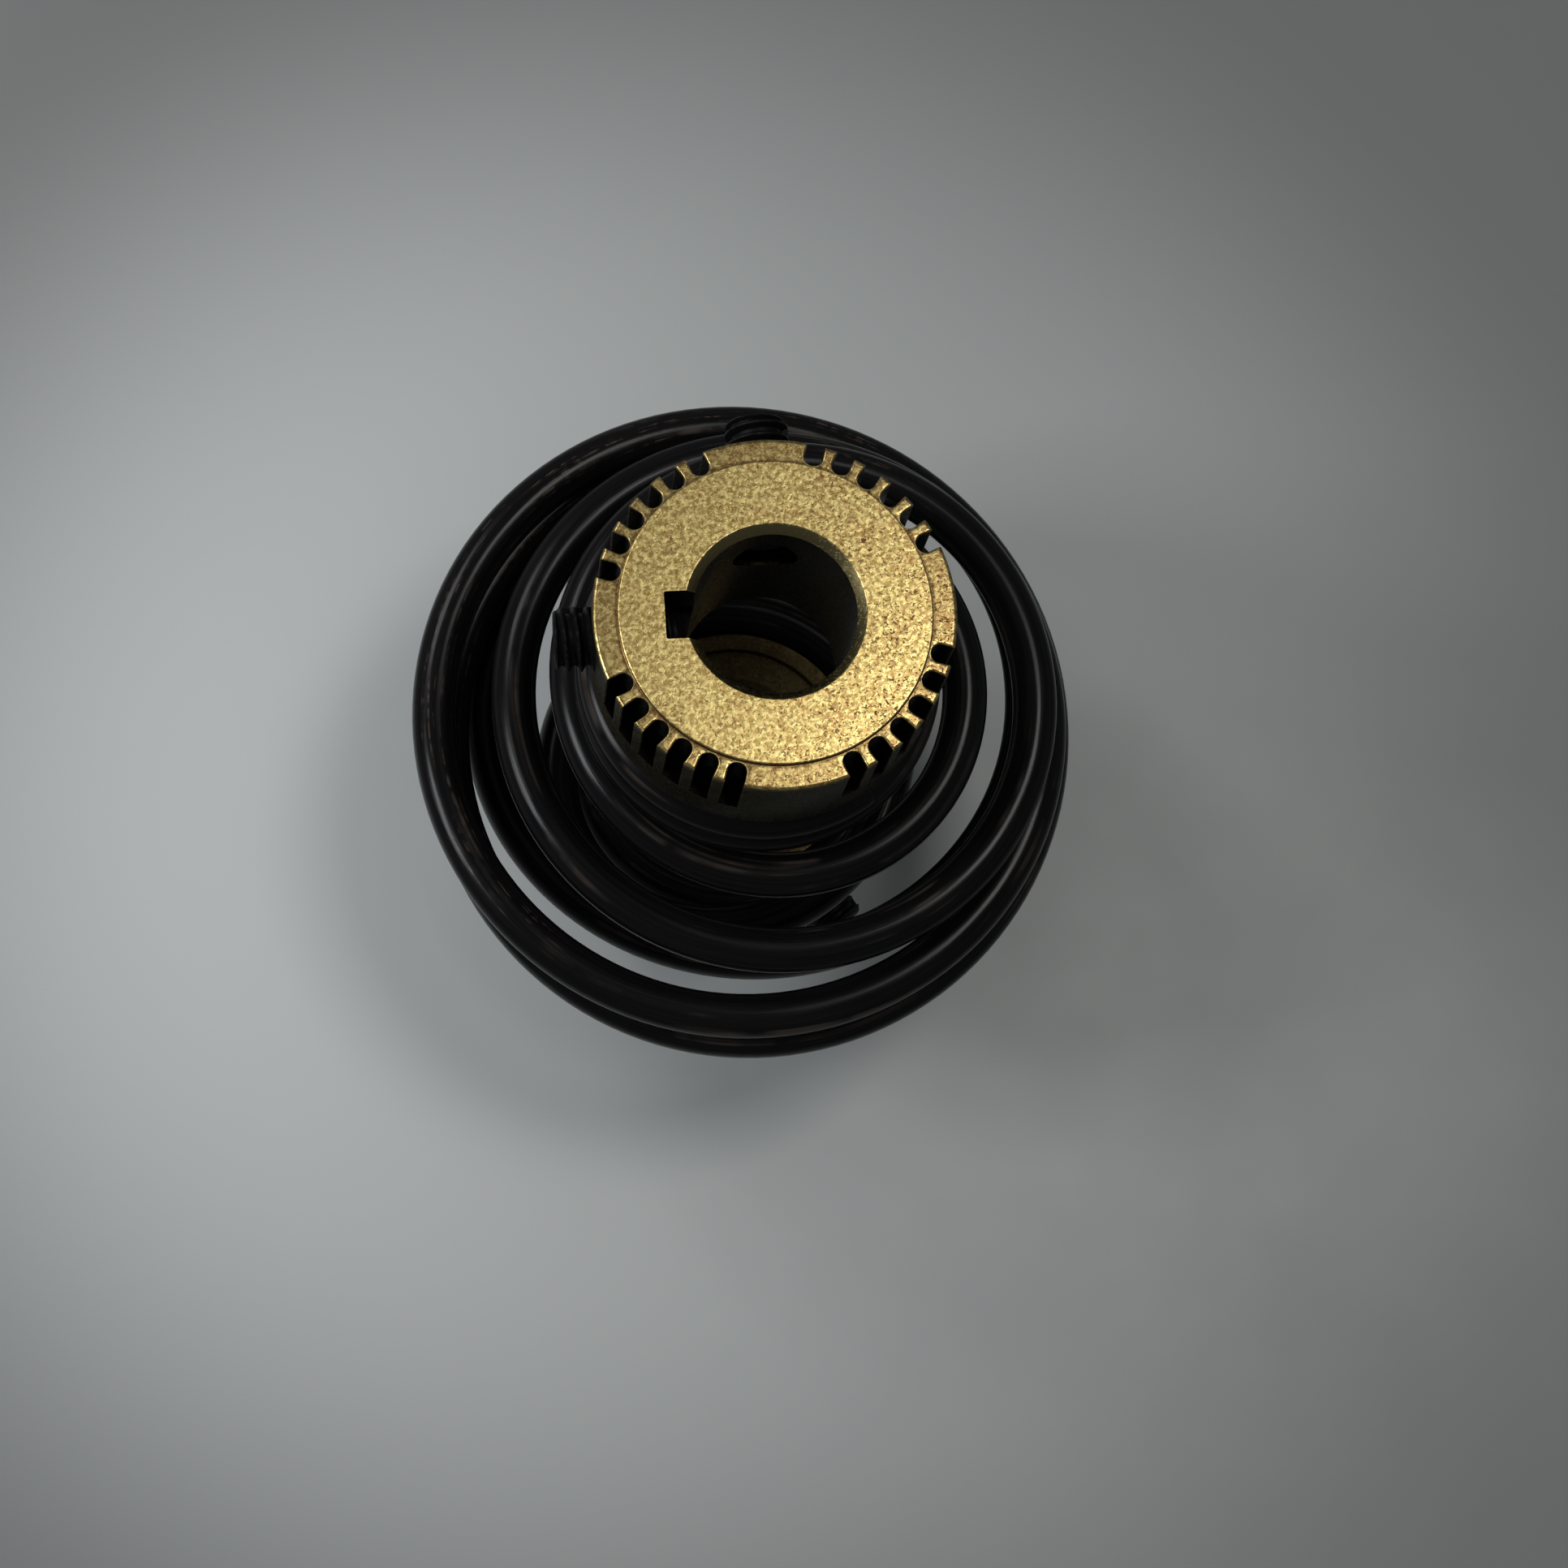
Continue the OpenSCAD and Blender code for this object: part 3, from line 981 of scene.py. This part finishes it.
@dataclass(frozen=True)
class BarrelSpring:
    """The coil spring, by the same law as the solid: close turns on both seats, wide in the middle."""

    wire_d: float = 4.76 * MM
    coil_d: float = 73.8 * MM
    spring_turns: float = 8.8
    widest_share: float = 0.56
    close_turns: float = 1.1
    close_gap: float = 0.12 * MM
    coil_gap: float = 0.18 * MM
    cone_bow: float = 0.25
    ease: float = 0.11
    first_sway: float = 9.2 * MM
    first_sway_turn: float = 60.0
    second_sway: float = 4.5 * MM
    second_sway_turn: float = 155.0
    lower_sway: float = 2.7 * MM
    lower_sway_turn: float = 345.0
    lower_lean: float = 15.5 * MM
    lower_lean_turn: float = 70.0
    widest_sway: float = 1.3 * MM
    widest_sway_turn: float = 245.0
    end_turn: float = 146.0
    seat_d: float = 28.0 * MM
    seat_gap: float = 0.06 * MM
    rim_len: float = 14.0 * MM
    turn_steps: int = 128
    wire_sides: int = 32
    trim: float = 0.03 * MM
    cut_edge: float = 0.3 * MM
    cut_edge_steps: int = 3
    cut_edge_angle: float = 60.0
    crease_angle: float = 40.0

    def sweeping_tree(self) -> bpy.types.NodeTree:
        """Build the tree that lays out the coil and sweeps the wire along it.

        The wire is swept thinner than the solid one by the trim, so that no facet leaves the solid.
        """
        graph = tree_for(BarrelSpring, "barrel_spring", {"Metal": "NodeSocketMaterial"})
        s = graph.sizes(BarrelSpring)
        wire_r = s.wire_d / 2.0
        close_pitch = s.wire_d + s.close_gap
        open_pitch = s.wire_d + s.coil_gap
        widest_turn = s.spring_turns * s.widest_share
        open_turns = s.spring_turns - 2.0 * s.close_turns
        seat_coil_r = s.seat_d / 2.0 + s.seat_gap + wire_r
        wide_coil_r = s.coil_d / 2.0 - wire_r
        first_depth = s.rim_len + s.seat_gap + wire_r
        overall_len = 2.0 * (first_depth + s.close_turns * close_pitch) + open_turns * open_pitch

        intervals = graph.math("ROUND", s.spring_turns * s.turn_steps)
        index = Field(graph, graph.node("GeometryNodeInputIndex").outputs[0])
        u = s.spring_turns * index / intervals
        upper = graph.math("LESS_THAN", u, widest_turn)
        turns_in = graph.mix(upper, s.spring_turns - u, u)
        cone_turns = graph.mix(upper, s.spring_turns - widest_turn, widest_turn) - s.close_turns
        share = graph.math("MAXIMUM", (turns_in - s.close_turns) / cone_turns, 0.0)
        early = graph.math("MAXIMUM", s.ease - share, 0.0)
        late = graph.math("MAXIMUM", share - 1.0 + s.ease, 0.0)
        eased = (share - s.ease / 2.0 + (early * early - late * late) / (2.0 * s.ease)) / (1.0 - s.ease)
        bowed = (1.0 - s.cone_bow) * eased + s.cone_bow * (2.0 * eased - eased * eased)
        coil_r = seat_coil_r + (wide_coil_r - seat_coil_r) * bowed
        close_part = close_pitch * graph.math("MINIMUM", turns_in, s.close_turns)
        open_part = open_pitch * graph.math("MAXIMUM", turns_in - s.close_turns, 0.0)
        depth = first_depth + close_part + open_part
        z = graph.mix(upper, depth, overall_len - depth)
        swing = graph.math("SINE", math.pi * share)
        bulge = swing * swing
        lower = 1.0 - upper
        reaches = (
            (coil_r, s.end_turn + 360.0 * u),
            (upper * s.first_sway * bulge * (1.0 - share), s.first_sway_turn),
            (upper * s.second_sway * bulge * share, s.second_sway_turn),
            (lower * s.lower_sway * bulge, s.lower_sway_turn),
            (lower * s.lower_lean * bulge * (2.0 * share - 1.0), s.lower_lean_turn),
            (s.widest_sway * eased, s.widest_sway_turn))
        x, y = (
            sum(reach * graph.math(wave, graph.math("RADIANS", clock)) for reach, clock in reaches)
            for wave in ("SINE", "COSINE"))

        line = graph.node("GeometryNodeCurvePrimitiveLine")
        points = graph.node(
            "GeometryNodeResampleCurve", {"Curve": line.outputs[0], "Count": intervals + 1.0})
        coil = graph.node("GeometryNodeSetPosition", {
            "Geometry": points.outputs[0], "Position": graph.vector(x, y, z)})
        length = graph.node("GeometryNodeSplineParameter").outputs["Length"]
        rail = graph.node("GeometryNodeStoreNamedAttribute", {
            "Geometry": coil.outputs[0], "Name": "wire_along", "Value": length})
        profile = graph.node("GeometryNodeCurvePrimitiveCircle", {
            "Resolution": s.wire_sides, "Radius": wire_r - s.trim})
        place = graph.node("GeometryNodeInputPosition").outputs[0]
        unit = graph.node("ShaderNodeVectorMath", {0: place}, operation="NORMALIZE").outputs[0]
        section = graph.stored(profile.outputs[0], "wire_side", unit)
        wire = graph.node("GeometryNodeCurveToMesh", {
            "Curve": rail.outputs[0], "Profile Curve": section, "Fill Caps": True})
        graph.feed(graph.exit.inputs[0], graph.dressed(wire.outputs[0]))
        return graph.tree

    def build(self, metal: bpy.types.Material) -> bpy.types.Object:
        """Sweep the wire and round the rims of its two cut ends.

        Args:
            metal: the wire material.

        Returns:
            The spring as a plain mesh.
        """
        host = object_from("spring_host", bpy.data.meshes.new("spring_host"))
        add_tree(host, self.sweeping_tree(), sizes_of(self) | {"Metal": metal})
        bevel = host.modifiers.new("cut_rims", "BEVEL")
        bevel.width = self.cut_edge
        bevel.segments = self.cut_edge_steps
        bevel.angle_limit = math.radians(self.cut_edge_angle)
        spring = made_plain("spring_wire", host)
        spring.data.shade_smooth()
        spring.data.set_sharp_from_angle(angle=math.radians(self.crease_angle))
        return spring


@dataclass(frozen=True)
class SetScrew:
    """A cup point socket set screw with a real thread, drawn with its point at the origin along +Z."""

    thread_d: float = 6.35 * MM
    pitch: float = 1.27 * MM
    length: float = 12.7 * MM
    thread_depth: float = 0.62 * MM
    top_bevel: float = 0.45 * MM
    socket_af: float = 3.175 * MM
    socket_depth: float = 3.2 * MM
    socket_lead: float = 0.15 * MM
    socket_flare: float = 1.1
    drill_d: float = 2.667 * MM
    drill_tip: float = 0.5 * MM
    cup_d: float = 3.9 * MM
    cup_lip: float = 0.3 * MM
    cup_depth: float = 0.9 * MM
    fade_len: float = 0.5 * MM
    crest_share: float = 0.14
    root_share: float = 0.30
    worn_share: float = 0.35
    around: int = 48
    pitch_steps: int = 14
    crease_angle: float = 35.0

    def thread_ring(self, rise: float) -> list[Vector]:
        """Return one turn of the helical grid.

        Args:
            rise: height of the turn's start above the point, which may lie outside the screw.

        Returns:
            Its points, held between the two ends and inside the end bevels.
        """
        phase = abs((rise / self.pitch) % 1.0 - 0.5) * 2
        groove = (phase - self.crest_share) / (1 - self.crest_share - self.root_share)
        groove = min(max(groove, 0.0), 1.0)
        ring = []
        for k in range(self.around):
            turn = math.tau * k / self.around
            z = min(max(rise + self.pitch * k / self.around, 0.0), self.length)
            fade = min(z, self.length - z, self.fade_len) / self.fade_len
            radius = self.thread_d / 2 - self.thread_depth * groove * fade
            radius = min(radius, self.cup_d / 2 + z, self.thread_d / 2 - self.top_bevel + self.length - z)
            ring.append(Vector((radius * math.cos(turn), radius * math.sin(turn), z)))
        return ring

    def hex_ring(self, scale: float, z: float) -> list[Vector]:
        """Return the socket's hexagon, larger or smaller by a scale, at one height."""
        ring = []
        for k in range(self.around):
            turn = math.tau * k / self.around
            radius = scale * self.socket_af / 2 / math.cos(turn % (math.pi / 3) - math.pi / 6)
            ring.append(Vector((radius * math.cos(turn), radius * math.sin(turn), z)))
        return ring

    def template(self) -> bpy.types.Object:
        """Make the screw at the origin, with a mask on its thread crests."""
        top, floor_z = self.length, self.length - self.socket_depth
        steps = round((self.length / self.pitch + 1) * self.pitch_steps)
        rings = [
            circle(0.0, self.cup_depth, self.around),
            circle(self.cup_d / 2 - self.cup_lip, 0.0, self.around)]
        rings += [self.thread_ring(self.pitch * (k / self.pitch_steps - 1)) for k in range(steps + 1)]
        rings += [
            self.hex_ring(self.socket_flare, top),
            self.hex_ring(1.0, top - self.socket_lead),
            self.hex_ring(1.0, floor_z),
            circle(self.drill_d / 2, floor_z, self.around),
            circle(0.0, floor_z - self.drill_tip, self.around)]
        mesh = skin("set_screw", rings, closed=False)
        mesh.shade_smooth()
        mesh.set_sharp_from_angle(angle=math.radians(self.crease_angle))
        crest = mesh.attributes.new("crest", "FLOAT", "POINT")
        low = self.thread_d / 2 - self.thread_depth * self.worn_share
        for vertex, mark in zip(mesh.vertices, crest.data):
            reach = (vertex.co.to_2d().length - low) / (self.thread_d / 2 - low)
            mark.value = min(max(reach, 0.0), 1.0)
        return object_from("set_screw", mesh)


@dataclass(frozen=True)
class ScrewPlace:
    """Where a set screw sits in its hub."""

    clock: float = 0.0
    tip_distance: float = 9.0 * MM
    axis_drop: float = 7.0 * MM

    @staticmethod
    def placing_tree() -> bpy.types.NodeTree:
        """Build the tree that sets a copy of the screw in a hub's hole."""
        extra = {"Screw": "NodeSocketObject", "Metal": "NodeSocketMaterial"}
        graph = tree_for(ScrewPlace, "screw_in_hub", extra)
        s = graph.sizes(ScrewPlace)
        clock = graph.math("RADIANS", s.clock)
        spot = graph.vector(
            s.tip_distance * graph.math("SINE", clock),
            s.tip_distance * graph.math("COSINE", clock),
            0.0 - s.axis_drop)
        point = graph.node("GeometryNodeMeshLine", {"Count": 1, "Start Location": spot})
        screw = graph.node("GeometryNodeObjectInfo", {"Object": graph.entry.outputs["Screw"]})
        lying = graph.vector(-math.pi / 2, 0.0, 0.0 - clock)
        placed = graph.node("GeometryNodeInstanceOnPoints", {
            "Points": point.outputs[0], "Instance": screw.outputs["Geometry"], "Rotation": lying})
        real = graph.node("GeometryNodeRealizeInstances", {0: placed.outputs[0]})
        graph.feed(graph.exit.inputs[0], graph.dressed(real.outputs[0]))
        return graph.tree

    def build(self, name: str, tree: bpy.types.NodeTree, screw: bpy.types.Object,
              metal: bpy.types.Material, into: Matrix) -> bpy.types.Object:
        """Set one screw.

        Args:
            name: the piece's name.
            tree: the placing tree.
            screw: the screw drawn at the origin.
            metal: the screw material.
            into: the move of its hub.

        Returns:
            The screw as a plain mesh.
        """
        host = object_from(f"{name}_host", bpy.data.meshes.new(name))
        add_tree(host, tree, sizes_of(self) | {"Screw": screw, "Metal": metal})
        made = made_plain(name, host)
        made.data.transform(into)
        return made


@dataclass(frozen=True)
class PhotoCamera:
    """The photograph's camera, given by where it sees the front hub's end face."""

    frame_px: float = 1932.0
    focal_px: float = 3700.0
    sensor: float = 36.0
    face_right: float = -0.73 * MM
    face_down: float = -16.62 * MM
    face_ahead: float = 287.74 * MM
    tilt: float = 13.8
    swing: float = 5.3
    roll: float = -2.7

    def build(self, front_z: float) -> None:
        """Place the camera.

        Args:
            front_z: height of the front hub's end face.
        """
        tilt, swing, roll = (math.radians(a) for a in (self.tilt, self.swing, self.roll))
        level = math.cos(tilt)
        axis = Vector((math.sin(swing) * level, -math.sin(tilt), -math.cos(swing) * level))
        down = Vector((0, -1, 0))
        down = (down - axis * down.dot(axis)).normalized()
        right = down.cross(axis)
        row_y = down * math.cos(roll) + right * math.sin(roll)
        row_x = right * math.cos(roll) - down * math.sin(roll)
        to_row = Matrix((row_x, row_y, axis))
        face = Vector((self.face_right, self.face_down, self.face_ahead))
        place = to_row @ -face + Vector((0, 0, front_z))
        turned = to_row @ Matrix.Diagonal((1, -1, -1))
        data = bpy.data.cameras.new("photo_camera")
        data.sensor_width = self.sensor
        data.lens = self.sensor * self.focal_px / self.frame_px
        data.clip_start = MM
        camera = bpy.data.objects.new("photo_camera", data)
        camera.matrix_world = Matrix.Translation(place) @ turned.to_4x4()
        bpy.context.scene.collection.objects.link(camera)
        bpy.context.scene.camera = camera


@dataclass(frozen=True)
class Softbox:
    """A square lamp with soft edges, by its place, size and brightness."""

    name: str
    place: tuple[float, float, float]
    width: float
    watts: float
    tint: Colour = (1.0, 1.0, 1.0)

    def build(self, aim: Vector) -> None:
        """Hang the lamp and point it at the part."""
        data = bpy.data.lights.new(self.name, "AREA")
        data.size = self.width
        data.energy = self.watts
        data.color = self.tint
        lamp = bpy.data.objects.new(self.name, data)
        lamp.location = self.place
        lamp.rotation_mode = "QUATERNION"
        lamp.rotation_quaternion = (aim - Vector(self.place)).to_track_quat("-Z", "Y")
        bpy.context.scene.collection.objects.link(lamp)


@dataclass(frozen=True)
class Studio:
    """The floor, the lamps and the room's even light."""

    table: PaleTable
    floor_radius: float = 4.0
    floor_corners: int = 64
    room: Colour = (0.15, 0.155, 0.16)
    lamps: tuple[Softbox, ...] = (
        Softbox("key_softbox", place=(0.185, 0.05, 0.645), width=0.16, watts=0.85, tint=(1.0, 0.985, 0.95)),
        Softbox("far_softbox", place=(-0.42, 0.42, 0.55), width=0.22, watts=1.2),
        Softbox("left_softbox", place=(-0.55, 0.0, 0.45), width=0.22, watts=2.2, tint=(0.95, 0.98, 1.0)))

    def build(self, aim: Vector) -> None:
        """Lay the floor and light the part.

        Args:
            aim: the point that the lamps are turned to.
        """
        mesh = bpy.data.meshes.new("floor")
        ring = circle(self.floor_radius, 0.0, self.floor_corners)
        mesh.from_pydata(ring, [], [range(self.floor_corners)])
        mesh.materials.append(self.table.material())
        object_from("floor", mesh)
        world = bpy.data.worlds.new("room")
        world.use_nodes = True
        background = world.node_tree.nodes["Background"]
        background.inputs["Color"].default_value = (*self.room, 1.0)
        bpy.context.scene.world = world
        for lamp in self.lamps:
            lamp.build(aim)


def hand_in(piece: bpy.types.Object, node: str) -> None:
    """Attach a piece to the body, hide the CAD node that it stands for, and log it.

    Args:
        piece: the finished piece.
        node: the CAD node that it replaces.
    """
    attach(piece, BODY)
    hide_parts(node)
    LOG.info("%s: %d faces, stands for %s", piece.name, len(piece.data.polygons), node)


def build_screws(hub: ToothedHub, metal: bpy.types.Material, front_z: float) -> None:
    """Set the four screws.

    Args:
        hub: the hub that holds them.
        metal: the screw material.
        front_z: height of the front hub's end face.
    """
    places = {
        ScrewSeat.KEY: ScrewPlace(clock=270.0, tip_distance=8.5 * MM, axis_drop=hub.screw_back),
        ScrewSeat.PLAIN: ScrewPlace(clock=0.0, tip_distance=9.0 * MM, axis_drop=hub.screw_back)}
    tree = ScrewPlace.placing_tree()
    template = SetScrew().template()
    for end in HubEnd:
        for seat, place in places.items():
            node = f"{end.value}_{seat.value}_screw"
            piece = place.build(f"{node}_body", tree, template, metal, hub.placing(end, front_z))
            hand_in(piece, node)
    bpy.data.objects.remove(template)


def main() -> None:
    """Build the camera, the studio and every piece in order."""
    logging.basicConfig(level=logging.INFO, format="%(name)s: %(message)s")
    front_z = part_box("front_hub")[1].z
    PhotoCamera().build(front_z)
    effects = Effects()
    Studio(PaleTable(effects)).build(Vector((0, 0, front_z / 2)))
    bpy.context.scene.view_settings.view_transform = "Standard"

    hub = ToothedHub()
    for end, piece in hub.build(SinteredBrass(effects).material(), front_z).items():
        hand_in(piece, f"{end.value}_hub")
    hand_in(BarrelSpring().build(TemperedWire(effects).material()), "spring")
    build_screws(hub, BlackOxide(effects).material(), front_z)


if __name__ == "__main__":
    main()
